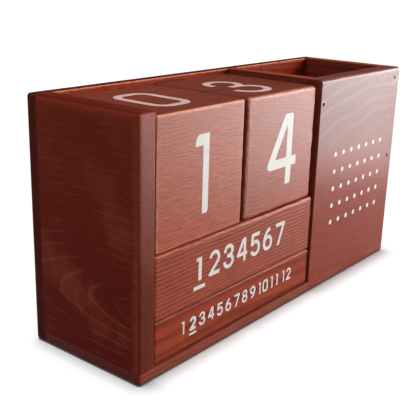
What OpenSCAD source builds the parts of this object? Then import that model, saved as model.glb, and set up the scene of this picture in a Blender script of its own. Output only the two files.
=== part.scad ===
// Perpetual desk calendar with a pen cup, in stained softwood, nailed together with fine brads.
// Millimetres. The origin is the middle of the underside, +X to the right, -Y to the front, +Z up.

/* [Case] */
// Width of the whole case
case_w = 194; // [187:1:212]
// Height of the whole case
case_h = 101; // [99.5:0.5:112]
// Thickness of the left and the right side board
side_t = 8; // [6:0.5:10]
// Thickness of the divider between the bay and the cup
divider_t = 6.5; // [5:0.5:9]
// Thickness of the cup's front board
cup_front_t = 7.5; // [5:0.5:9]
// Thickness of the back board
back_t = 5.8; // [4:0.1:8]
// Thickness of the base board
base_t = 5; // [3:0.5:6]
// Radius of the sanded outer edges
case_ease = 1.5; // [0.6:0.1:2]

/* [Blocks] */
// Edge of a date cube
cube_size = 50.8; // [50:0.1:51]
// Height and depth of a weekday bar
day_bar_size = 25.7; // [25:0.1:25.8]
// Height and depth of a month bar
month_bar_size = 17.1; // [16.5:0.1:17.2]
// Length of the weekday and month bars
bar_l = 106.4; // [105:0.1:106.6]
// Radius of the cubes' sanded edges
cube_ease = 0.9; // [0.5:0.1:2]
// Radius of the bars' sanded edges
bar_ease = 0.8; // [0.5:0.1:1.5]
// Gap between one block and the next, above, below or behind
block_gap = 0.1; // [0.1:0.05:0.2]
// Gap between the two cubes
cube_gap = 2.2; // [1.5:0.1:2.5]
// How far the deepest row of blocks stands back from the case's front
recess = 0.8; // [0.5:0.1:1.5]

/* [Brads] */
// Diameter of a brad's shank
brad_d = 1.2; // [1:0.1:1.4]
// Diameter of a brad's head
brad_head_d = 1.6; // [1.5:0.1:2]
// Thickness of a brad's head
brad_head_t = 0.9; // [0.6:0.1:1.2]
// Length of a brad
brad_l = 20; // [16:1:22]
// How deep a brad's head is set below the wood
brad_set = 0.8; // [0.4:0.1:1]

/* [Hidden] */

$fn = 48;
brad_fit = 0.03;         // radial room round a brad, in its hole
tip_room = 0.3;          // room past a brad's tip
bar_room = 0.7;          // room between a bar and the board at each of its ends
past = 1;                // how far a cut runs past the face it opens
cubes_left = 0.47;       // share of the cubes' spare room that lies to their left

// The blocks set the bay: two weekday bars or three month bars are about one cube deep.
day_row = day_bar_size + block_gap;
month_row = month_bar_size + block_gap;
bay_d = recess + max(cube_size + block_gap, 2 * day_row, 3 * month_row);
case_d = bay_d + back_t;
bay_w = bar_l + 2 * bar_room;
cup_x = side_t + bay_w;                  // left face of the divider and the cup front
right_x = case_w - side_t;               // inner face of the right side board
month_z = base_t + block_gap;
day_z = month_z + month_row;
cube_z = day_z + day_row;
cube_room = bay_w - 2 * cube_size - cube_gap;
tens_x = side_t + cubes_left * cube_room;
units_x = tens_x + cube_size + cube_gap;
bar_x = side_t + bar_room;

// Where the brads stand: x is across the case, y along its depth, z up.
left_mid = side_t / 2;
divider_mid = cup_x + divider_t / 2;
right_mid = right_x + side_t / 2;
cup_left_brad_x = divider_mid - 0.8;     // driven by hand, a little off the board's middle
cup_right_brad_x = right_mid - 1.8;
cup_left_brad_z = [90];
cup_right_brad_z = [55, 96];
back_brad_z = [28, 56, 85];
base_brad_y = [13, 42];
cup_brads = [
    for (z = cup_left_brad_z) [cup_left_brad_x, z],
    for (z = cup_right_brad_z) [cup_right_brad_x, z]
];
back_brads = [for (x = [left_mid, divider_mid, right_mid]) for (z = back_brad_z) [x, z]];
base_brads = [for (x = [left_mid, divider_mid, right_mid]) for (y = base_brad_y) [x, y]];

stain = [0.42, 0.15, 0.10];
stain_dark = [0.33, 0.11, 0.08];
stain_light = [0.50, 0.20, 0.13];
steel = [0.55, 0.55, 0.56];

// Corner coordinates run from the case's left front bottom corner; this puts them in the part's frame.
module placed() {
    translate([-case_w / 2, -case_d / 2, 0]) children();
}

// Rectangle with round corners, made of straight runs and true arcs.
module round_rect(w, h, r) {
    translate([r, 0]) square([w - 2 * r, h]);
    translate([0, r]) square([w, h - 2 * r]);
    for (x = [r, w - r]) for (y = [r, h - r]) translate([x, y]) circle(r);
}

// Box with every edge sanded round: what three round-cornered prisms have in common.
module eased_block(size, r) {
    intersection() {
        linear_extrude(size.z) round_rect(size.x, size.y, r);
        translate([0, size.y, 0]) rotate([90, 0, 0]) linear_extrude(size.y) round_rect(size.x, size.z, r);
        rotate([90, 0, 90]) linear_extrude(size.x) round_rect(size.y, size.z, r);
    }
}

// A board is sawn square and sanded round only where it meets the outside of the case.
module board(corner, size) {
    placed() intersection() {
        translate(corner) cube(size);
        eased_block([case_w, case_d, case_h], case_ease);
    }
}

// One brad, its head's top at z = 0 and its tip down the -Z axis.
module brad() {
    translate([0, 0, -brad_head_t]) cylinder(h = brad_head_t, d = brad_head_d);
    translate([0, 0, -brad_l]) cylinder(h = brad_l - brad_head_t / 2, d = brad_d);
}

// The hole of one brad: a bore for the shank, and the wider pit that the set head leaves above it.
module brad_hole() {
    translate([0, 0, -brad_l - tip_room]) cylinder(h = brad_l, d = brad_d + 2 * brad_fit);
    translate([0, 0, -brad_head_t - brad_fit])
        cylinder(h = brad_head_t + brad_fit + brad_set + past, d = brad_head_d + 2 * brad_fit);
}

// Places for the three groups of brads, heads set below the outside of the case.
module at_cup_brads() {
    placed() for (p = cup_brads) translate([p.x, brad_set, p.y]) rotate([90, 0, 0]) children();
}

module at_back_brads() {
    placed() for (p = back_brads) translate([p.x, case_d - brad_set, p.y]) rotate([-90, 0, 0]) children();
}

module at_base_brads() {
    placed() for (p = base_brads) translate([p.x, p.y, brad_set]) rotate([180, 0, 0]) children();
}

module base_board() {
    color(stain_light) difference() {
        board([0, 0, 0], [case_w, bay_d, base_t]);
        placed() translate([cup_x, -past, -past]) cube([case_w, cup_front_t + past, base_t + 2 * past]);
        at_base_brads() brad_hole();
    }
}

module back_board() {
    color(stain) difference() {
        board([0, bay_d, 0], [case_w, back_t, case_h]);
        at_back_brads() brad_hole();
    }
}

module left_side_board() {
    color(stain_dark) difference() {
        board([0, 0, base_t], [side_t, bay_d, case_h - base_t]);
        at_back_brads() brad_hole();
        at_base_brads() brad_hole();
    }
}

module divider_board() {
    color(stain) difference() {
        board([cup_x, cup_front_t, base_t], [divider_t, bay_d - cup_front_t, case_h - base_t]);
        at_cup_brads() brad_hole();
        at_back_brads() brad_hole();
        at_base_brads() brad_hole();
    }
}

module right_side_board() {
    color(stain) difference() {
        board([right_x, cup_front_t, base_t], [side_t, bay_d - cup_front_t, case_h - base_t]);
        at_cup_brads() brad_hole();
        at_back_brads() brad_hole();
        at_base_brads() brad_hole();
    }
}

module cup_front_board() {
    color(stain) difference() {
        board([cup_x, 0, 0], [case_w - cup_x, cup_front_t, case_h]);
        at_cup_brads() brad_hole();
    }
}

module date_cube(x) {
    color(stain_light) placed() translate([x, bay_d - block_gap - cube_size, cube_z])
        eased_block([cube_size, cube_size, cube_size], cube_ease);
}

module date_cube_tens() {
    date_cube(tens_x);
}

module date_cube_units() {
    date_cube(units_x);
}

// One long bar, the row-th from the back board.
module bar(size, z, row) {
    placed() translate([bar_x, bay_d - row * (size + block_gap), z])
        eased_block([bar_l, size, size], bar_ease);
}

module day_bar_front() {
    color(stain) bar(day_bar_size, day_z, 2);
}

module day_bar_rear() {
    color(stain) bar(day_bar_size, day_z, 1);
}

module month_bar_front() {
    color(stain_light) bar(month_bar_size, month_z, 3);
}

module month_bar_middle() {
    color(stain_light) bar(month_bar_size, month_z, 2);
}

module month_bar_rear() {
    color(stain_light) bar(month_bar_size, month_z, 1);
}

module cup_front_brads() {
    color(steel) at_cup_brads() brad();
}

module back_board_brads() {
    color(steel) at_back_brads() brad();
}

module base_board_brads() {
    color(steel) at_base_brads() brad();
}

base_board();
back_board();
left_side_board();
divider_board();
right_side_board();
cup_front_board();
date_cube_tens();
date_cube_units();
day_bar_front();
day_bar_rear();
month_bar_front();
month_bar_middle();
month_bar_rear();
cup_front_brads();
back_board_brads();
base_board_brads();
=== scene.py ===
# The looks of a perpetual desk calendar: a nailed pine box with loose date blocks and a pen cup.
# Metres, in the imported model's frame: +X to the right, -Y to the front, +Z up.
import math

import bmesh
import bpy
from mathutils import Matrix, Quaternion, Vector, geometry


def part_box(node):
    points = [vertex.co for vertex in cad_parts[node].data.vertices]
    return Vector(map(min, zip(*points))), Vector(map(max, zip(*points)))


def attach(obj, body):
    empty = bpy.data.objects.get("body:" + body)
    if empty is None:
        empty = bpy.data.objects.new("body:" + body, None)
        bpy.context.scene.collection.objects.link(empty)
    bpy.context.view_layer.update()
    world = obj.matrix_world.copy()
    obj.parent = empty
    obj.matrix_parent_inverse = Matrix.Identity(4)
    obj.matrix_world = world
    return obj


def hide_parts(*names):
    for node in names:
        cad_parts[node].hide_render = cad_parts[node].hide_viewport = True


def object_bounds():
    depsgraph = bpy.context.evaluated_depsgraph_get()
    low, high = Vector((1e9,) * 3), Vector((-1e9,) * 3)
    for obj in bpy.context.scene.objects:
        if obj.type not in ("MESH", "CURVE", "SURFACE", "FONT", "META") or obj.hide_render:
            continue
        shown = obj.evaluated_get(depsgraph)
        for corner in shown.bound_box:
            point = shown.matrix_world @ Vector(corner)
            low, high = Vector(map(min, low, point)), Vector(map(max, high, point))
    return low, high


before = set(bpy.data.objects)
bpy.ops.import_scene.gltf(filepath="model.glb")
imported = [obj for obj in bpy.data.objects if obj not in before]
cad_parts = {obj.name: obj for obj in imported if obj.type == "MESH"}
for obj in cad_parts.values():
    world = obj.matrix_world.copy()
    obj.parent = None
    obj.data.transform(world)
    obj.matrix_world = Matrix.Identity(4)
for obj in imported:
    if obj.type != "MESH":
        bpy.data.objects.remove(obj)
cad_low, cad_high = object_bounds()
MM = 0.001

# --- Camera ---
# A short telephoto lens a little above the rim, off to the left of the open front.
# The picture plane leans by less than two degrees, as a camera held by hand does.
camera = bpy.data.objects.new("camera", bpy.data.cameras.new("camera"))
bpy.context.scene.collection.objects.link(camera)
bpy.context.scene.camera = camera
camera.data.sensor_width = 36
camera.data.lens = 65.17
camera.location = Vector((-271.9, -197.1, 146.5)) * MM
camera_heading = math.radians(-51.63)
camera_dip = math.radians(17.66)
camera_lean = math.radians(1.69)
sight = Vector((
    -math.sin(camera_heading) * math.cos(camera_dip),
    math.cos(camera_heading) * math.cos(camera_dip),
    -math.sin(camera_dip),
))
camera.rotation_mode = "QUATERNION"
camera.rotation_quaternion = sight.to_track_quat("-Z", "Y") @ Quaternion((0, 0, 1), camera_lean)


# --- Base board ---
# A thin pine board that the case's other boards and the bars stand on, with its grain along the case.
# It is sawn square, stained red-brown and varnished satin, and brads go up through it into the boards.
class Wire:
    """What a socket of a node tree gives. Arithmetic on wires adds the Math nodes that work it out."""

    def __init__(self, tree, socket=None):
        self.tree = tree
        self.socket = socket

    def node(self, kind, sockets=None, out=0, **settings):
        """Adds a node of any kind to the tree, and returns the wire from one of its outputs."""
        made = self.tree.nodes.new(kind)
        for name, value in settings.items():
            setattr(made, name, value)
        for key, value in (sockets or {}).items():
            into = self.live(made.inputs, key)
            if isinstance(value, Wire):
                self.tree.links.new(value.socket, into)
            else:
                into.default_value = value
        return Wire(self.tree, self.live(made.outputs, out))

    @staticmethod
    def live(sockets, key):
        """The socket of that name or number among those that the node's settings leave in use."""
        in_use = [s for s in sockets if s.enabled]
        return in_use[key] if isinstance(key, int) else next(s for s in in_use if s.name == key)

    def ends_in(self, kind, socket):
        """Links the wire to a new output node of its tree."""
        self.tree.links.new(self.socket, self.tree.nodes.new(kind).inputs[socket])

    def math(self, operation, *values):
        return self.node("ShaderNodeMath", dict(enumerate(values)), operation=operation)

    def vector(self, operation, *values):
        return self.node("ShaderNodeVectorMath", dict(enumerate(values)), operation=operation)

    def scaled(self, vector, by):
        """A vector or a colour times a number."""
        return self.node("ShaderNodeVectorMath", {0: vector, "Scale": by}, operation="SCALE")

    def apart(self, vector):
        """The three parts of a vector."""
        split = self.node("ShaderNodeSeparateXYZ", {0: vector}).socket.node
        return [Wire(self.tree, split.outputs[axis]) for axis in "XYZ"]

    def __add__(self, other):
        return self.math("ADD", self, other)

    def __sub__(self, other):
        return self.math("SUBTRACT", self, other)

    def __rsub__(self, other):
        return self.math("SUBTRACT", other, self)

    def __mul__(self, other):
        return self.math("MULTIPLY", self, other)

    def __truediv__(self, other):
        return self.math("DIVIDE", self, other)

    __radd__ = __add__
    __rmul__ = __mul__

    def noise(self, at, scale, detail=2.0):
        """Cloudy noise from 0 to 1 that changes over about 1 / scale units of `at`."""
        return self.node("ShaderNodeTexNoise", {"Vector": at, "Scale": scale, "Detail": detail})

    def ease(self, value, low, high):
        """0 where value is under low, 1 where it is over high, and smooth between."""
        sockets = {"Value": value, "From Min": low, "From Max": high}
        return self.node("ShaderNodeMapRange", sockets, interpolation_type="SMOOTHSTEP")

    def blend(self, share, first, second, how="MIX"):
        """A colour that goes from first to second as share goes from 0 to 1."""
        first, second = (colour if isinstance(colour, Wire) else (*colour, 1) for colour in (first, second))
        sockets = {"Factor": share, "A": first, "B": second}
        return self.node("ShaderNodeMix", sockets, data_type="RGBA", blend_type=how)


def timber_tree():
    """Nodes that saw a block out of a grid, round its free edges unevenly and sand its faces a bit hollow.

    Low and High are the block's corners, and Free low and Free high are those of the box whose edges are
    free. The case and its foot are two larger boxes, which round the block by their own ease.
    """
    tree = bpy.data.node_groups.new("timber", "GeometryNodeTree")
    corners = ("Low", "High", "Free low", "Free high", "Case low", "Case high", "Foot low", "Foot high")
    sizes = ("Arris", "Ruggedness", "Rub", "Hollow", "Cell", "Case ease", "Foot ease")
    kinds = {
        **dict.fromkeys(corners, "Vector"), **dict.fromkeys(sizes, "Float"),
        "Grain": "Vector", "Seed": "Vector", "Finish": "Material",
    }
    for name, kind in kinds.items():
        tree.interface.new_socket(name=name, in_out="INPUT", socket_type="NodeSocket" + kind)
    tree.interface.new_socket(name="Block", in_out="OUTPUT", socket_type="NodeSocketGeometry")
    start = Wire(tree)
    given = tree.nodes.new("NodeGroupInput").outputs
    ask = {name: Wire(tree, given[name]) for name in kinds}

    size = start.vector("SUBTRACT", ask["High"], ask["Low"])
    half = start.scaled(size, 0.5)
    middle = start.vector("ADD", ask["Low"], half)
    counts = start.apart(start.vector("DIVIDE", size, ask["Cell"]))
    cells = {f"Vertices {axis}": count + 3 for axis, count in zip("XYZ", counts)}
    grid = start.node("GeometryNodeMeshCube", {"Size": (2, 2, 2), **cells})

    # The rows of the grid close up towards the edges, where the rounding needs them.
    unit = start.node("GeometryNodeInputPosition")
    square = start.vector("MULTIPLY", unit, unit)
    stretch = start.vector("MULTIPLY_ADD", square, (-0.5, -0.5, -0.5), (1.5, 1.5, 1.5))
    sawn = start.vector("MULTIPLY_ADD", start.vector("MULTIPLY", unit, stretch), half, middle)
    block = start.node("GeometryNodeSetPosition", {"Geometry": grid, "Position": sawn})

    def noted(shape, name, value):
        """The shape with a number stored on each of its points, for the material to read."""
        sockets = {"Geometry": shape, "Name": name, "Value": value}
        return start.node("GeometryNodeStoreNamedAttribute", sockets, data_type="FLOAT", domain="POINT")

    # How close a point lies to a free edge is the middle one of its distances to the three pairs of free
    # faces. Noise scales here count the ups and downs in a metre.
    place = start.node("GeometryNodeInputPosition")
    seeded = start.vector("ADD", place, ask["Seed"])
    from_low = start.vector("SUBTRACT", place, ask["Free low"])
    from_high = start.vector("SUBTRACT", ask["Free high"], place)
    x, y, z = start.apart(start.vector("MINIMUM", from_low, from_high))
    nearer = start.math("MINIMUM", x, y)
    further = start.math("MAXIMUM", x, y)
    to_edge = start.math("MAXIMUM", nearer, start.math("MINIMUM", further, z))
    ragged = start.noise(seeded, 420, 3) - 0.5
    block = noted(block, "worn", 1 - start.ease(to_edge + ragged * ask["Rub"], 0, ask["Rub"]))

    def rounded(at, low, high, radius):
        """The points `at`, with what sticks out of a box with round edges brought in to its surface."""
        near_low = start.vector("MAXIMUM", at, start.vector("ADD", low, radius))
        core = start.vector("MINIMUM", near_low, start.vector("SUBTRACT", high, radius))
        out = start.vector("SUBTRACT", at, core)
        reach = start.math("MINIMUM", start.vector("LENGTH", out), radius)
        return start.vector("ADD", core, start.scaled(start.vector("NORMALIZE", out), reach))

    chips = start.noise(seeded, 300, 3) - 0.45
    dents = start.noise(seeded, 60) - 0.5
    least_arris = 0.1 * MM
    arris = ask["Arris"] * (1 + ask["Ruggedness"] * (chips * 2.4 + dents * 1.2))
    arris = start.math("MAXIMUM", arris, least_arris)
    eased = rounded(place, ask["Free low"], ask["Free high"], arris)
    eased = rounded(eased, ask["Case low"], ask["Case high"], ask["Case ease"])
    eased = rounded(eased, ask["Foot low"], ask["Foot high"], ask["Foot ease"])
    block = start.node("GeometryNodeSetPosition", {"Geometry": block, "Position": eased})

    normal = start.node("GeometryNodeInputNormal")
    across = start.math("ABSOLUTE", start.vector("DOT_PRODUCT", normal, ask["Grain"]))
    block = noted(block, "end_grain", start.ease(across, 0.6, 0.95))
    sink = start.scaled(normal, ask["Hollow"] * start.noise(seeded, 55) * -1)
    block = start.node("GeometryNodeSetPosition", {"Geometry": block, "Offset": sink})
    block = start.node("GeometryNodeRealizeInstances", {"Geometry": block})
    block = start.node("GeometryNodeSetMaterial", {"Geometry": block, "Material": ask["Finish"]})
    block.ends_in("NodeGroupOutput", "Block")
    return tree


def grown(name, tree, inputs, cuts=(), points=None):
    """A plain mesh object made by a node tree with these inputs, with the shapes in cuts taken out of it."""
    made = bpy.data.objects.new(name, points or bpy.data.meshes.new(name))
    bpy.context.scene.collection.objects.link(made)
    nodes = made.modifiers.new("nodes", "NODES")
    nodes.node_group = tree
    for socket in tree.interface.items_tree:
        if socket.in_out == "INPUT" and socket.name in inputs:
            nodes[socket.identifier] = inputs[socket.name]
    for tool in cuts:
        cut = made.modifiers.new("cut", "BOOLEAN")
        cut.operation = "DIFFERENCE"
        cut.object = tool
        cut.solver = "MANIFOLD"
        cut.material_mode = "TRANSFER"
    depsgraph = bpy.context.evaluated_depsgraph_get()
    plain = bpy.data.meshes.new_from_object(made.evaluated_get(depsgraph), depsgraph=depsgraph)
    made.modifiers.clear()
    made.data = plain
    plain.name = name
    plain.shade_smooth()
    plain.set_sharp_from_angle(angle=math.radians(40))
    return made


# The case as a whole is sanded round, and most of all along the foot of its back and of its right end.
# The foot's box reaches about a metre past the case on the other sides, so that it rounds nothing there.
timber = timber_tree()
case_round = {
    "Case low": cad_low, "Case high": cad_high, "Case ease": 1.5 * MM,
    "Foot low": (-1, -1, cad_low.z), "Foot high": (cad_high.x, cad_high.y, 1), "Foot ease": 3 * MM,
}
past_joint = 20 * MM


def board(node, grain, finish, joined, cuts, seed, rub=0.9 * MM, cell=0.7 * MM):
    """One board of the case. joined names the sides, such as "+y", where it meets another board."""
    low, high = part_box(node)
    free_low, free_high = low.copy(), high.copy()
    for way, axis in joined:
        if way == "+":
            free_high["xyz".index(axis)] += past_joint
        else:
            free_low["xyz".index(axis)] -= past_joint
    made = grown(node + "_sawn", timber, {
        **case_round, "Low": low, "High": high, "Free low": free_low, "Free high": free_high,
        "Arris": 0.35 * MM, "Ruggedness": 0.5, "Rub": rub, "Hollow": 0.1 * MM, "Cell": cell, "Grain": grain,
        "Seed": (seed, seed, seed), "Finish": finish,
    }, cuts)
    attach(made, "case")
    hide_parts(node)


def blank_material(name):
    """A material without nodes, and the wire that its nodes start from."""
    made = bpy.data.materials.new(name)
    made.use_nodes = True
    made.node_tree.nodes.clear()
    return made, Wire(made.node_tree)


def stained_pine(
    name, pith, ring, early, late, ends, worn_and_highlit, turn=0, wave=9.0, hard_from=0.35, relief=0.5, fibre=0.25,
    tooth=1.1, pores=-0.3, mottle=0.6, gloss=0.42, sheen=0.1, foot_ends=None, crown=None,
    top_painted_light=(1, 1, 1), highlight_way=(0, -0.707, 0.707), rub_from=0.75,
):
    """Pine under a red-brown stain and satin varnish, sawn from a log that lies along X.

    The log's pith runs through the point pith, turned by turn degrees about Z.
    ring and wave are the width of a year's growth and how far it strays from a true circle, in millimetres.
    early and late colour the soft and the hard part of a year, and the hard part begins at hard_from of it.
    ends colours cut ends. Where foot_ends is given, ends is their colour high up, which holds a painted
    sheen, and foot_ends their darker colour low down, where that sheen fades.
    crown is (early, late, low, high), other colours that take over between two heights.
    top_painted_light is a painted tint for the light and shade on faces that look up, darker on most woods
    and brighter on some.
    worn_and_highlit colours the edges, as real wear and in part a painted highlight, above all those that
    face highlight_way, and more of them the lower rub_from is.
    fibre, pores and mottle are how much the streaks, the open pores and the stain's blotches show.
    relief and tooth are how proud the hard rings and the fibres stand.
    gloss and sheen are the varnish's roughness and how much light it throws back.
    """
    made, start = blank_material(name)
    place = start.node("ShaderNodeTexCoord", out="Object")
    lie = {"Vector": place, "Location": pith, "Rotation": (0, 0, math.radians(turn)), "Scale": (MM, MM, MM)}
    log = start.node("ShaderNodeMapping", lie, vector_type="TEXTURE")

    def drawn_out(squeeze, scale, detail=2.0):
        """Noise that changes only squeeze times as fast along the log as across it."""
        return start.noise(start.vector("MULTIPLY", log, (squeeze, 1, 1)), scale, detail)

    # Rings: the distance from the pith, pushed about by noise, as a tree grows unevenly along its length.
    across = start.vector("LENGTH", start.vector("MULTIPLY", log, (0, 1, 1)))
    growth = across + (drawn_out(0.35, 0.035) - 0.5) * wave + (drawn_out(0.12, 0.35) - 0.5) * 0.9
    year = start.math("FRACT", growth / ring)
    hard = start.ease(year, hard_from, 0.5 * hard_from + 0.68) * (1 - start.ease(year, 0.93, 1))

    # Fibres, pores and the blotches that a stain leaves.
    streak = drawn_out(0.09, 1.7, 4)
    pore = start.ease(drawn_out(0.14, 3.2, 3), 0.6, 0.72)
    blotch = start.noise(log, 0.045, 3)

    height = start.apart(place)[2]
    if crown:
        crown_early, crown_late, crown_low, crown_high = crown
        above = start.ease(height + (blotch - 0.5) * 0.02, crown_low, crown_high)
        early = start.blend(above, early, crown_early)
        late = start.blend(above, late, crown_late)
    colour = start.blend(hard * 0.8 + (blotch - 0.5) * mottle, early, late)
    colour = start.scaled(colour, 1 + (streak - 0.5) * (fibre * 4) + pore * pores)

    # Cut ends, which drink the stain unevenly. With foot_ends they also carry a painted sheen high up that
    # fades towards the foot.
    ends_here = start.node("ShaderNodeAttribute", out="Fac", attribute_name="end_grain")
    if foot_ends:
        sheen_above = start.ease(height + (blotch - 0.5) * 0.04, 0.028, 0.112)
        ends = start.blend(sheen_above, foot_ends, ends)
    colour = start.blend(ends_here * 0.9, colour, ends)
    colour = start.scaled(colour, 1 + ends_here * (start.noise(place, 1100, 4) - 0.5) * 1.1)

    # Painted light and shade on faces that look up, and edges worn through the stain that also carry a
    # painted highlight.
    facing = start.node("ShaderNodeNewGeometry", out="Normal")
    up = start.ease(start.apart(facing)[2], 0.4, 0.92)
    colour = start.blend(up, colour, top_painted_light, "MULTIPLY")
    worn = start.node("ShaderNodeAttribute", out="Fac", attribute_name="worn")
    patchy = start.ease(streak + blotch, rub_from, rub_from + 0.4)
    # Edges that face highlight_way take most of the edge colour: a painted highlight over the real wear.
    highlit_facing = 0.1 + 0.9 * start.ease(start.vector("DOT_PRODUCT", facing, highlight_way), 0.7, 0.95)
    colour = start.blend(worn * patchy * highlit_facing, colour, worn_and_highlit)

    swell = (hard * relief + (streak - 0.5) * tooth - pore * 0.5) * (1 - ends_here * 0.8)
    bumps = start.node("ShaderNodeBump", {"Strength": 0.6, "Distance": 0.06 * MM, "Height": swell})
    shader = start.node("ShaderNodeBsdfPrincipled", {
        "Base Color": colour, "Normal": bumps, "Specular IOR Level": sheen,
        "Roughness": gloss + (streak - 0.5) * 0.25 + ends_here * 0.1 + up * 0.4,
    })
    shader.ends_in("ShaderNodeOutputMaterial", "Surface")
    return made


def round_bar_tree(name, parts):
    """Nodes that set a row of round bars and cones on every point of a mesh, one below the other.

    Each part is (radius at its top, radius at its foot, depth of its top below the point, length), and
    each of its sizes is a named input.
    """
    round_sides = 24
    tree = bpy.data.node_groups.new(name, "GeometryNodeTree")
    for label, kind in (("Points", "Geometry"), ("Turn", "Rotation"), ("Finish", "Material")):
        tree.interface.new_socket(name=label, in_out="INPUT", socket_type="NodeSocket" + kind)
    tree.interface.new_socket(name="Brads", in_out="OUTPUT", socket_type="NodeSocketGeometry")
    labels = ("top radius", "foot radius", "depth", "length")
    for part, sizes in parts.items():
        for label, size in zip(labels, sizes):
            made = tree.interface.new_socket(
                name=f"{part} {label}", in_out="INPUT", socket_type="NodeSocketFloat"
            )
            made.default_value = size
    start = Wire(tree)
    given = tree.nodes.new("NodeGroupInput").outputs
    whole = tree.nodes.new("GeometryNodeJoinGeometry")
    for part in parts:
        top, foot, depth, length = (Wire(tree, given[f"{part} {label}"]) for label in labels)
        sizes = {"Vertices": round_sides, "Radius Top": top, "Radius Bottom": foot, "Depth": length}
        shape = start.node("GeometryNodeMeshCone", sizes)
        drop = start.node("ShaderNodeCombineXYZ", {"Z": (depth + length) * -1})
        shape = start.node("GeometryNodeTransform", {"Geometry": shape, "Translation": drop})
        tree.links.new(shape.socket, whole.inputs[0])
    driven = start.node("GeometryNodeInstanceOnPoints", {
        "Points": Wire(tree, given["Points"]), "Instance": Wire(tree, whole.outputs[0]),
        "Rotation": Wire(tree, given["Turn"]),
    })
    driven = start.node("GeometryNodeRealizeInstances", {"Geometry": driven})
    finish = Wire(tree, given["Finish"])
    driven = start.node("GeometryNodeSetMaterial", {"Geometry": driven, "Material": finish})
    driven.ends_in("NodeGroupOutput", "Brads")
    return tree


# Where the brads go: their heads' tops, and the way that the heads face. Those in front are driven by hand,
# a little off the middles of the boards that they hold.
brad_radius = 0.6 * MM
brad_long = 20 * MM
head_radius = 0.8 * MM
head_deep = 0.9 * MM
head_sunk = 0.8 * MM
board_middles = [
    sum(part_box(node), Vector()).x / 2 for node in ("left_side_board", "divider_board", "right_side_board")
]
left_row = board_middles[1] - 0.8 * MM
right_row = board_middles[2] - 1.8 * MM
front_spots = ((left_row, 90 * MM), (right_row, 55 * MM), (right_row, 96 * MM))
back_heights = (28 * MM, 56 * MM, 85 * MM)
base_depths = (13 * MM, 42 * MM)
brad_groups = {
    "cup_front_brads": (
        [(x, cad_low.y + head_sunk, z) for x, z in front_spots], (0, -1, 0),
    ),
    "back_board_brads": (
        [(x, cad_high.y - head_sunk, z) for x in board_middles for z in back_heights], (0, 1, 0),
    ),
    "base_board_brads": (
        [(x, cad_low.y + y, head_sunk) for x in board_middles for y in base_depths], (0, 0, -1),
    ),
}


def in_every_place(name, group, tree, finish):
    """The brads of a group, or the holes for them, made by a tree in every place of the group."""
    places, facing = brad_groups[group]
    points = bpy.data.meshes.new("brad_points")
    points.from_pydata(places, [], [])
    turn = Vector(facing).to_track_quat("Z", "Y").to_euler()
    return grown(name, tree, {"Turn": turn, "Finish": finish}, points=points)


# The brads' holes are drilled in every board that they pass, a hair wider than the brads.
hole_room = 0.04 * MM
pit_past = 2 * MM
pit_under = 0.05 * MM
bore_from = 0.5 * MM
tip_room = 0.3 * MM
pit_radius = head_radius + hole_room
bore_radius = brad_radius + hole_room
hole_tree = round_bar_tree("brad_hole", {
    "pit": (pit_radius, pit_radius, -pit_past, pit_past + head_deep + pit_under),
    "bore": (bore_radius, bore_radius, bore_from, brad_long + tip_room - bore_from),
})
# The pits' walls are painted near black: a painted shade in the pits.
pit_painted_shade, start = blank_material("pit_painted_shade")
pit_mottle = start.noise(start.node("ShaderNodeTexCoord", out="Object"), 3000, 3)
shader = start.node("ShaderNodeBsdfPrincipled", {
    "Base Color": start.blend(pit_mottle, (0.03, 0.008, 0.005), (0.09, 0.025, 0.014)),
    "Roughness": 0.8, "Specular IOR Level": 0.1,
})
shader.ends_in("ShaderNodeOutputMaterial", "Surface")
holes = {group: in_every_place(group + "_holes", group, hole_tree, pit_painted_shade) for group in brad_groups}

along_case = (1, 0, 0)
base_pine = stained_pine(
    "base_pine", pith=(0, 0.01, -0.05), ring=1.6, early=(0.26, 0.050, 0.024), late=(0.17, 0.030, 0.015),
    ends=(0.16, 0.021, 0.010), worn_and_highlit=(0.42, 0.15, 0.08),
)
board("base_board", along_case, base_pine, ["+y", "+z"], [holes["base_board_brads"]], seed=0.1)

# --- Back board ---
# One wide pine board across the whole back, nailed from behind over the ends of the side boards and the
# divider. Its end grain drank the stain and is nearly black. The rim's edge towards the bay is pale, worn
# and with a painted highlight, and the rim's top is painted darker as shade.
back_pine = stained_pine(
    "back_pine", pith=(0.02, 0.10, 0.03), turn=2, ring=2.4, early=(0.29, 0.036, 0.012),
    late=(0.18, 0.020, 0.007), ends=(0.105, 0.017, 0.009), worn_and_highlit=(0.72, 0.26, 0.15),
    highlight_way=(0, -0.92, 0.39), rub_from=0.4, top_painted_light=(0.45, 0.36, 0.36), fibre=0.4, sheen=0.02,
)
board(
    "back_board", along_case, back_pine, [], [holes["back_board_brads"]], seed=0.2, rub=1.1 * MM,
    cell=0.8 * MM,
)

# --- Side boards and divider ---
# Three pine boards that stand on the base, with their grain from front to back. The left one shows its sawn
# end to the front, and a knot low in it bends its growth rings into loops. The other two, on either side of
# the cup, are of plainer wood.
through_case = (0, 1, 0)
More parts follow.
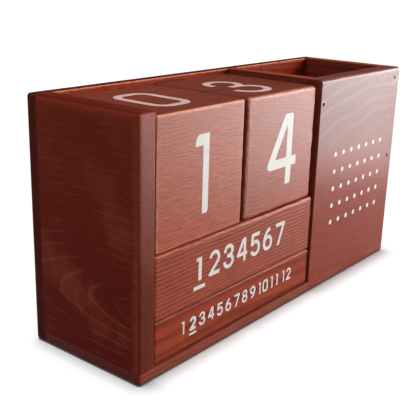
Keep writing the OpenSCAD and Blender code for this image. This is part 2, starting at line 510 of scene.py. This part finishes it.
# On the left board, the sawn end is painted pale and mauve high up, a painted sheen that fades to a dark
# foot, and the outer face has a wide lighter band painted as light along its top and front edges.
side_pine = stained_pine(
    "side_pine", pith=(-0.1065, 0.0, 0.029), turn=101, ring=3.4, early=(0.175, 0.013, 0.0055),
    late=(0.42, 0.078, 0.040), hard_from=0.7, crown=((0.25, 0.026, 0.011), (0.30, 0.050, 0.027), 0.0, 0.1),
    ends=(0.35, 0.15, 0.13), foot_ends=(0.107, 0.024, 0.015), worn_and_highlit=(0.40, 0.058, 0.028),
    highlight_way=(-1, 0, 0), rub_from=0.3, top_painted_light=(0.64, 0.58, 0.58), fibre=0.16, pores=-0.1, mottle=4.0,
    sheen=0.03, relief=0.2,
)
inner_pine = stained_pine(
    "inner_pine", pith=(0.03, 0.0, 0.16), turn=90, ring=2.4, early=(0.34, 0.065, 0.038),
    late=(0.25, 0.042, 0.024), ends=(0.14, 0.025, 0.014), worn_and_highlit=(0.44, 0.13, 0.07),
    top_painted_light=(1.15, 1.1, 0.9), sheen=0.05,
)
rear_holes = [holes["back_board_brads"], holes["base_board_brads"]]
all_holes = rear_holes + [holes["cup_front_brads"]]
# The left board's 5 mm band of edge colour is painted light along its outer face's top and front edges.
board(
    "left_side_board", through_case, side_pine, ["-z", "+y"], rear_holes, seed=0.3, rub=5 * MM,
    cell=0.6 * MM,
)
board("divider_board", through_case, inner_pine, ["-z", "+y", "-y"], all_holes, seed=0.4)
board("right_side_board", through_case, inner_pine, ["-z", "+y", "-y"], all_holes, seed=0.5)

# --- Cup front board ---
# A pine board nailed over the front edges of the divider and the right side board, from floor to rim.
# The wood is redder below. Above, it is painted greyer and darker with pale growth rings, a painted sheen
# over its grain.
cup_pine = stained_pine(
    "cup_pine", pith=(0.06, -0.012, 0.056), turn=-15, ring=5.5, wave=13.0, hard_from=0.6,
    early=(0.24, 0.028, 0.009), late=(0.20, 0.022, 0.008),
    crown=((0.165, 0.048, 0.039), (0.24, 0.12, 0.075), 0.05, 0.085), ends=(0.24, 0.046, 0.026),
    worn_and_highlit=(0.34, 0.12, 0.08), top_painted_light=(1.2, 0.8, 0.75), mottle=0.3, gloss=0.32,
)
board(
    "cup_front_board", along_case, cup_pine, ["+y"], [holes["cup_front_brads"]], seed=0.6, cell=0.6 * MM,
)

# --- Brads ---
# Steel finishing brads with small domed heads. They are driven by hand through the boards that lie outside,
# and their heads are set just under the wood, which leaves a small pit over each, painted dark as its shade.
dome_deep = head_deep * 0.3
cone_deep = head_deep * 0.6
shank_from = head_deep * 0.85
point_long = 2 * MM
head_rim = head_radius * 0.97
shank_radius = brad_radius * 0.97
brad_tree = round_bar_tree("brad", {
    "dome": (head_radius * 0.7, head_rim, 0.0, dome_deep),
    "head": (head_rim, brad_radius, dome_deep, cone_deep),
    "shank": (shank_radius, shank_radius, shank_from, brad_long - shank_from - point_long),
    "point": (shank_radius, 0.08 * MM, brad_long - point_long, point_long),
})
brad_steel, start = blank_material("brad_steel")
scratch = start.noise(start.node("ShaderNodeTexCoord", out="Object"), 4000, 4)
shader = start.node("ShaderNodeBsdfPrincipled", {
    "Base Color": start.blend(scratch, (0.18, 0.17, 0.16), (0.34, 0.33, 0.32)), "Metallic": 1.0,
    "Roughness": 0.35 + scratch * 0.3,
})
shader.ends_in("ShaderNodeOutputMaterial", "Surface")
for group in brad_groups:
    brads = in_every_place(group + "_driven", group, brad_tree, brad_steel)
    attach(brads, "case")
    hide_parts(group)
    bpy.data.objects.remove(holes[group])


# --- Date cubes ---
# Two pine cubes of two inches, loose in the bay, with a white numeral screen-printed on each of their faces.
# They are stained and varnished, and sanded round at every edge until the stain breaks through, with a
# painted highlight on the pale edges that face front and up.
def block(node, body, slot, finish, seed, arris, rub, cell, rugged=0.5):
    """A loose block: all its edges are free and rounded, and worn in colour, partly as a painted highlight.
    """
    low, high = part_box(node)
    made = grown(node + "_sanded", timber, {
        **case_round, "Low": low, "High": high, "Free low": low, "Free high": high, "Arris": arris,
        "Ruggedness": rugged, "Rub": rub, "Hollow": 0.08 * MM, "Cell": cell, "Grain": along_case,
        "Seed": (seed, seed, seed), "Finish": finish,
    })
    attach(made, body)
    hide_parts(node)


def arc(x, y, reach_x, reach_y, begin, end):
    """Points on a round stretch of a stroke, from one angle in degrees to the other."""
    steps = max(2, round(abs(end - begin) / 9))
    angles = [math.radians(begin + (end - begin) * k / steps) for k in range(steps + 1)]
    return [(x + reach_x * math.cos(a), y + reach_y * math.sin(a)) for a in angles]


# The ten numerals about their middle. A list is the middle line of a stroke. A tuple is an outline that is
# filled as it stands, for the one and for the stem and top of the four, whose stems' middles are in stem_at.
drawn_high = 30.4
drawn_width = 4
drawn_pitch = 21
stem_at = {1: 0.8, 4: 4.9}
oval = arc(-2.6, 7.6, 5.6, 5.6, 180, 90) + arc(2.6, 7.6, 5.6, 5.6, 90, 0)
oval += arc(2.6, -7.6, 5.6, 5.6, 0, -90) + arc(-2.6, -7.6, 5.6, 5.6, -90, -180)
six = [arc(0, -5.2, 8, 8, 0, 360), [(-8, -5.2)] + arc(6.4, -3.6, 14.4, 16.8, 180, 98)]
numeral_strokes = {
    0: [oval + oval[:2]],
    1: [
        ((-0.9, -15.4), (1.7, -15.4), (2.5, -14.4), (2.5, 14.9), (-0.9, 14.9)),
        ((-5.5, 10.6), (-0.9, 10.6), (-0.9, 14.9), (-3.2, 14.9), (-4.3, 14.2), (-5.2, 12.6)),
    ],
    2: [arc(0, 5.2, 7.8, 8, 168, -32) + [(-8.2, -13.2), (9.6, -13.2)]],
    3: [arc(-0.2, 6.8, 7, 6.4, 190, -90) + [(-3.4, 0.4)], [(-3.4, 0.4)] + arc(0, -6.4, 8, 6.8, 90, -188)],
    4: [
        ((2.9, -15.2), (5.9, -15.2), (6.6, -14.8), (6.9, -14.1),
         (6.9, 14.0), (6.5, 14.9), (5.7, 15.2), (2.9, 15.2)),
        ((0.29, 14.1), (2.9, 14.1), (2.9, 15.2), (2.0, 15.2), (1.1, 14.9)),
        [(2.61, 14.1), (-8.8, -5.4), (10.4, -5.4)],
    ],
    5: [[(8.6, 13.2), (-6.2, 13.2), (-7.2, 1.2)] + arc(0, -4.7, 8, 8.5, 135, -160)],
    6: six,
    7: [[(-9.6, 13.2), (8.6, 13.2), (-3.4, -15.2)]],
    8: [arc(0, 6.9, 6.8, 6.3, 0, 360), arc(0, -6.3, 8, 6.9, 0, 360)],
    9: [[(-x, -y) for x, y in stroke] for stroke in six],
}


def disc(middle, radius, corners):
    """A round dab of ink, as a shape with this many corners."""
    turns = [math.tau * n / corners for n in range(corners)]
    return [Vector(middle) + radius * Vector((math.cos(turn), math.sin(turn))) for turn in turns]


def stroke_shapes(line, width):
    """A pen's stroke along a line, as four-sided shapes with a round dab at each sharp corner."""
    shapes, half = [], width / 2
    ways = [(Vector(b) - Vector(a)).normalized() for a, b in zip(line, line[1:])]
    sides = [Vector((-way.y, way.x)) for way in ways]
    least_smooth = 0.9  # cosine of the sharpest bend that two lengths of a stroke share without a dab

    def edge(k, corner):
        """The two sides of a length of the stroke where it meets the next one, or where it is cut level."""
        point, side = Vector(line[corner]), sides[k]
        other = k + 1 if corner == k + 1 else k - 1
        if 0 <= other < len(sides) and side.dot(sides[other]) > least_smooth:
            side = (side + sides[other]) / (1 + side.dot(sides[other]))
        elif corner in (0, len(line) - 1) and abs(ways[k].y) > 0.6 and abs(ways[k].x) > 0.1:
            side = Vector((-1 / ways[k].y, 0))
        return point + side * half, point - side * half

    for k in range(len(ways)):
        (a, b), (c, d) = edge(k, k), edge(k, k + 1)
        shapes.append([a, b, d, c])
        if k and sides[k].dot(sides[k - 1]) <= least_smooth:
            shapes.append(disc(line[k], half, 20))
    return shapes


def numeral(number, x, y, high, width):
    """The shapes of a number of one or two figures about a point, in millimetres."""
    grow = (high - width) / (drawn_high - drawn_width)
    bolder = (width - drawn_width * grow) / 2
    figures = [int(figure) for figure in str(number)]
    pitch = drawn_pitch * grow + width * 0.2
    shapes = []
    for n, figure in enumerate(figures):
        shift = x + (n - (len(figures) - 1) / 2) * pitch
        for drawn in numeral_strokes[figure]:
            placed = [(shift + px * grow, y + py * grow) for px, py in drawn]
            if isinstance(drawn, tuple):
                spread = [math.copysign(bolder, px - stem_at[figure]) for px, py in drawn]
                shapes.append([Vector((px + out, py)) for (px, py), out in zip(placed, spread)])
            else:
                shapes += stroke_shapes(placed, width)
    return shapes


def inked(shapes):
    """The points and triangles that cover flat shapes, each spot once however many shapes lie over it."""
    corners = [Vector(corner) for shape in shapes for corner in shape]
    faces, at = [], 0
    for shape in shapes:
        faces.append(list(range(at, at + len(shape))))
        at += len(shape)
    points, _, triangles, _, _, whose = geometry.delaunay_2d_cdt(corners, [], faces, 0, 1e-4)
    return points, [t for t, owners in zip(triangles, whose) if owners]


# The ink is thin, so the stain shows through it here and there. Where it faces up it is painted warmer and
# brighter, a painted light.
white_ink, start = blank_material("white_ink")
place = start.node("ShaderNodeTexCoord", out="Object")
thin = start.noise(start.vector("MULTIPLY", place, (0.3, 1, 1)), 2500, 4)
cover = start.ease(thin * 0.7 + start.noise(place, 180, 2) * 0.3, 0.25, 0.6)
ink_colour = start.blend(cover, (0.60, 0.52, 0.48), (0.74, 0.71, 0.68))
upward = start.ease(start.apart(start.node("ShaderNodeNewGeometry", out="Normal"))[2], 0.7, 0.98)
shader = start.node("ShaderNodeBsdfPrincipled", {
    "Base Color": start.blend(upward, ink_colour, (1.35, 0.93, 0.86), "MULTIPLY"),
    "Roughness": 0.5, "Specular IOR Level": 0.2,
    "Normal": start.node("ShaderNodeBump", {"Strength": 0.3, "Distance": 0.03 * MM, "Height": thin}),
})
shader.ends_in("ShaderNodeOutputMaterial", "Surface")
ink_sunk = 0.15 * MM


def printed(name, body, faces, proud=0.02 * MM):
    """One skin of ink on a body. faces lists (middle of a face, its right, its up, shapes on it)."""
    mesh = bmesh.new()
    for middle, right, up, shapes in faces:
        right, up = Vector(right), Vector(up)
        out = right.cross(up)
        points, triangles = inked(shapes)
        places = [Vector(middle) + (right * p.x + up * p.y) * MM + out * proud for p in points]
        corners = [mesh.verts.new(place) for place in places]
        skin = [mesh.faces.new([corners[k] for k in t]) for t in triangles]
        for loose in [v for v in corners if not v.link_faces]:
            mesh.verts.remove(loose)
        flat = bmesh.ops.dissolve_limit(
            mesh, angle_limit=0.01, verts=list({v for f in skin for v in f.verts}),
            edges=list({e for f in skin for e in f.edges}),
        )["region"]
        pushed = bmesh.ops.extrude_face_region(mesh, geom=flat, use_keep_orig=True)["geom"]
        sunk_corners = [g for g in pushed if isinstance(g, bmesh.types.BMVert)]
        sunk_faces = [g for g in pushed if isinstance(g, bmesh.types.BMFace)]
        bmesh.ops.translate(mesh, vec=-out * (proud + ink_sunk), verts=sunk_corners)
        bmesh.ops.reverse_faces(mesh, faces=sunk_faces)
    bmesh.ops.recalc_face_normals(mesh, faces=mesh.faces)
    made = bpy.data.objects.new(name, bpy.data.meshes.new(name))
    bpy.context.scene.collection.objects.link(made)
    mesh.to_mesh(made.data)
    mesh.free()
    made.data.materials.append(white_ink)
    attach(made, body)


def sides_of(node):
    """A block's four long sides and two ends, as (middle, right, up) of each when it is read."""
    low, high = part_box(node)
    middle, half = (low + high) / 2, (high - low) / 2
    ways = {
        "front": ((1, 0, 0), (0, 0, 1)), "top": ((1, 0, 0), (0, 1, 0)), "back": ((1, 0, 0), (0, 0, -1)),
        "foot": ((1, 0, 0), (0, -1, 0)), "left": ((0, -1, 0), (0, 0, 1)), "right": ((0, 1, 0), (0, 0, 1)),
    }
    found = {}
    for side, (right, up) in ways.items():
        out = Vector(right).cross(Vector(up))
        found[side] = (middle + Vector(a * b for a, b in zip(out, half)), right, up)
    return found


def cube_pine(name, share):
    """The cubes' pine. share is how much light the stain leaves, which differs from block to block."""

    def stain(*colour):
        return tuple(share * part for part in colour)

    return stained_pine(
        name, pith=(0, -0.02, -0.2), ring=0.95, wave=1.6, early=stain(0.35, 0.062, 0.027),
        late=stain(0.29, 0.046, 0.020),
        crown=(stain(0.35, 0.080, 0.037), stain(0.29, 0.060, 0.028), 0.048, 0.072),
        ends=stain(0.22, 0.045, 0.026), worn_and_highlit=stain(0.70, 0.29, 0.17), highlight_way=(-0.35, -0.8, 0.48),
        rub_from=0.5, top_painted_light=(0.76, 0.52, 0.50), fibre=0.34, pores=0.45, mottle=1.2, sheen=0.16,
        relief=0.15, tooth=2.4,
    )


def date_cube(node, body, share, seed, arris, rub, rugged, numbers):
    """A date cube. numbers gives each side's number, how far right and up it lies, its height and stroke."""
    finish = cube_pine(body + "_pine", share)
    block(node, body, "cube_wood", finish, seed, arris, rub, 0.6 * MM, rugged)
    sides = sides_of(node)
    faces = [(*sides[side], numeral(*figure)) for side, figure in numbers.items()]
    printed(body + "_numerals", body, faces)


# The numerals are printed by hand, so those on show lie a little off the middles of their faces.
as_meant = (0, 0.6, 31, 4.1)
date_cube(
    "date_cube_tens", "tens_cube", share=1.05, seed=0.7, arris=0.9 * MM, rub=1.9 * MM, rugged=0.4,
    numbers={
        "front": (1, 1.1, 0.3, 31, 4.1), "top": (0, -3.2, -2.4, 29.6, 3.5), "back": (2, *as_meant),
        "foot": (6, *as_meant), "left": (7, *as_meant), "right": (8, *as_meant),
    },
)
date_cube(
    "date_cube_units", "units_cube", share=0.88, seed=0.8, arris=1.5 * MM, rub=2.6 * MM, rugged=0.5,
    numbers={
        "front": (4, 0.7, 0.3, 31, 4.1), "top": (3, -5.0, -3.95, 31.7, 3.5), "back": (0, *as_meant),
        "foot": (1, *as_meant), "left": (2, *as_meant), "right": (5, *as_meant),
    },
)

# --- Weekday bars ---
# Two square pine bars, loose in the bay one behind the other, stained, varnished and sanded like the cubes.
# Each long side shows the week's seven numbers with one of them marked, but the rear bar's underside is
# blank, so that two bars do for seven days.
day_pine = stained_pine(
    "day_pine", pith=(0, -0.03, -0.1), ring=1.7, wave=6.0, early=(0.35, 0.056, 0.022),
    late=(0.12, 0.017, 0.008), ends=(0.14, 0.024, 0.013), worn_and_highlit=(0.62, 0.22, 0.12), fibre=0.32, relief=1.2,
)


def marked_row(numbers, marked, pitch, high, width, up):
    """A row of numbers about the middle of a side, with the marked one bolder and underlined."""
    two_figures, bolder = 1.62, 1.35
    spans = [pitch * (two_figures if number > 9 else 1) for number in numbers]
    at = -sum(spans) / 2
    shapes = []
    for number, span in zip(numbers, spans):
        x = at + span / 2
        shapes += numeral(number, x, up, high, bolder * width if number == marked else width)
        if number == marked:
            level = up - high / 2 - 1.5 * width
            reach = span * 0.38
            shapes += stroke_shapes([(x - reach, level), (x + reach, level)], width)
        at += span
    return shapes


def numbered_bar(node, body, finish, seed, rub, cell, numbers, marks, **row):
    """A loose bar. marks gives the number marked in front, on top, behind and below, or None for no row."""
    block(node, body, "bar_wood", finish, seed, 1.1 * MM, rub, cell)
    sides = sides_of(node)
    faces = [
        (*sides[side], marked_row(numbers, mark, **row))
        for side, mark in zip(("front", "top", "back", "foot"), marks) if mark
    ]
    printed(body + "_numbers", body, faces)


day_bars = {
    "day_bar_front": ("front_day_bar", 0.9, (1, 2, 3, 4)),
    "day_bar_rear": ("rear_day_bar", 1.0, (5, 6, 7, None)),
}
for node, (body, seed, marks) in day_bars.items():
    numbered_bar(
        node, body, day_pine, seed, rub=1.0 * MM, cell=0.65 * MM, numbers=range(1, 8), marks=marks,
        pitch=9.2, high=10.5, width=1.6, up=1.2,
    )

# --- Month bars ---
# Three thinner pine bars lie on the base under the weekday bars, one behind the other, made in the same way.
# Each long side shows the year's twelve numbers with one of them marked, so three bars do for twelve months.
month_pine = stained_pine(
    "month_pine", pith=(0, 0.05, -0.05), turn=1.5, ring=4.2, wave=7.0, early=(0.31, 0.047, 0.017),
    late=(0.17, 0.024, 0.010), ends=(0.14, 0.024, 0.013), worn_and_highlit=(0.42, 0.12, 0.06), sheen=0.05,
)
month_bars = {
    "month_bar_front": ("front_month_bar", 1.2, (2, 3, 4, 5)),
    "month_bar_middle": ("middle_month_bar", 1.3, (6, 7, 8, 9)),
    "month_bar_rear": ("rear_month_bar", 1.4, (10, 11, 12, 1)),
}
for node, (body, seed, marks) in month_bars.items():
    numbered_bar(
        node, body, month_pine, seed, rub=0.8 * MM, cell=0.6 * MM, numbers=range(1, 13), marks=marks,
        pitch=5.7, high=5.8, width=0.95, up=0.9,
    )

# --- Dots on the cup front ---
# A plain panel of white dots, seven to a row for the days of a week and five rows for a month's weeks.
# They are printed on the board with the same thin ink as the numerals.
weeks, days = 5, 7
week_pitch, day_pitch, dot_radius = 8.4, 7.6, 1.2
panel_middle = (58.5 * MM, cad_low.y, 48 * MM)
dots = [
    disc(((day - (days - 1) / 2) * day_pitch, ((weeks - 1) / 2 - week) * week_pitch), dot_radius, 24)
    for week in range(weeks) for day in range(days)
]
printed("month_dots", "case", [(panel_middle, (1, 0, 0), (0, 0, 1), dots)], proud=0)

# --- Table and lights ---
# A white table top without an edge, lit from straight above so that the case keeps a soft shadow below it.
# A softbox in front on the right gives the case its matt light. A window further round and a card close by
# add only sheen, and the ceiling and the grey room fill in the other sides.
table = bpy.data.objects.new("table", bpy.data.meshes.new("table"))
bpy.context.scene.collection.objects.link(table)
table_reach = 12.0
table_corners = [(x * table_reach, y * table_reach, 0) for x, y in ((-1, -1), (1, -1), (1, 1), (-1, 1))]
table.data.from_pydata(table_corners, [], [(0, 1, 2, 3)])

# The table is white to look at, also in a reflection, and throws back only as much light as a grey one.
table_white, start = blank_material("table_white")
rays = start.node("ShaderNodeLightPath").socket.node.outputs
looked_at = Wire(start.tree, rays["Is Camera Ray"])
for kind in ("Is Glossy Ray", "Is Transmission Ray"):
    looked_at = start.math("MAXIMUM", looked_at, Wire(start.tree, rays[kind]))
top_colour = start.blend(looked_at, (0.21, 0.21, 0.21), (0.79, 0.805, 0.805))
glow_colour = start.blend(looked_at, (0, 0, 0), (0.02, 0.02, 0.02))
top = start.node("ShaderNodeBsdfDiffuse", {"Color": top_colour})
glow = start.node("ShaderNodeEmission", {"Color": glow_colour})
start.node("ShaderNodeAddShader", {0: top, 1: glow}).ends_in("ShaderNodeOutputMaterial", "Surface")
table.data.materials.append(table_white)


def lamp(name, kind, place, target, power, table_is, matte=True, shiny=True, **settings):
    """A lamp for all but the table, or for the table alone, that gives matt light, sheen or both.

    table_is says whether the table is what the lamp lights, "INCLUDE", or what it leaves out, "EXCLUDE".
    """
    made = bpy.data.objects.new(name, bpy.data.lights.new(name, kind))
    bpy.context.scene.collection.objects.link(made)
    made.data.energy = power
    for setting, value in settings.items():
        setattr(made.data, setting, value)
    made.location = place
    made.rotation_mode = "QUATERNION"
    made.rotation_quaternion = (Vector(target) - made.location).to_track_quat("-Z", "Y")
    made.visible_camera = False
    made.visible_diffuse = matte
    made.visible_glossy = shiny
    lit = bpy.data.collections.new(name + "_lights")
    lit.objects.link(table)
    lit.collection_objects[0].light_linking.link_state = table_is
    made.light_linking.receiver_collection = lit


case_middle = (0, 0, 0.05)
foot_middle = (0, 0, 0)
pane = {"shape": "RECTANGLE", "size": 0.62, "size_y": 0.42}
lamp("window", "AREA", (0.93, -0.50, 0.22), case_middle, 20, "EXCLUDE", matte=False, **pane)
lamp("softbox", "AREA", (0.67, -0.825, 0.325), case_middle, 12, "EXCLUDE", shiny=False, **pane)
lamp(
    "card", "AREA", (0.195, -0.165, 0.043), (0.08, -0.029, 0.043), 0.49, "EXCLUDE", matte=False,
    shape="RECTANGLE", size=0.2, size_y=0.085,
)
lamp(
    "ceiling", "AREA", (-0.2, 0.2, 1.5), foot_middle, 7.4, "EXCLUDE",
    shape="RECTANGLE", size=1.2, size_y=1.2,
)
lamp("skylight", "SUN", (0.0, 0.033, 1.2), foot_middle, 3.4, "INCLUDE", angle=math.radians(8))
room = bpy.data.worlds.new("room")
bpy.context.scene.world = room
room.use_nodes = True
room.node_tree.nodes["Background"].inputs["Color"].default_value = (0.21, 0.21, 0.21, 1)
bpy.context.scene.view_settings.view_transform = "Standard"
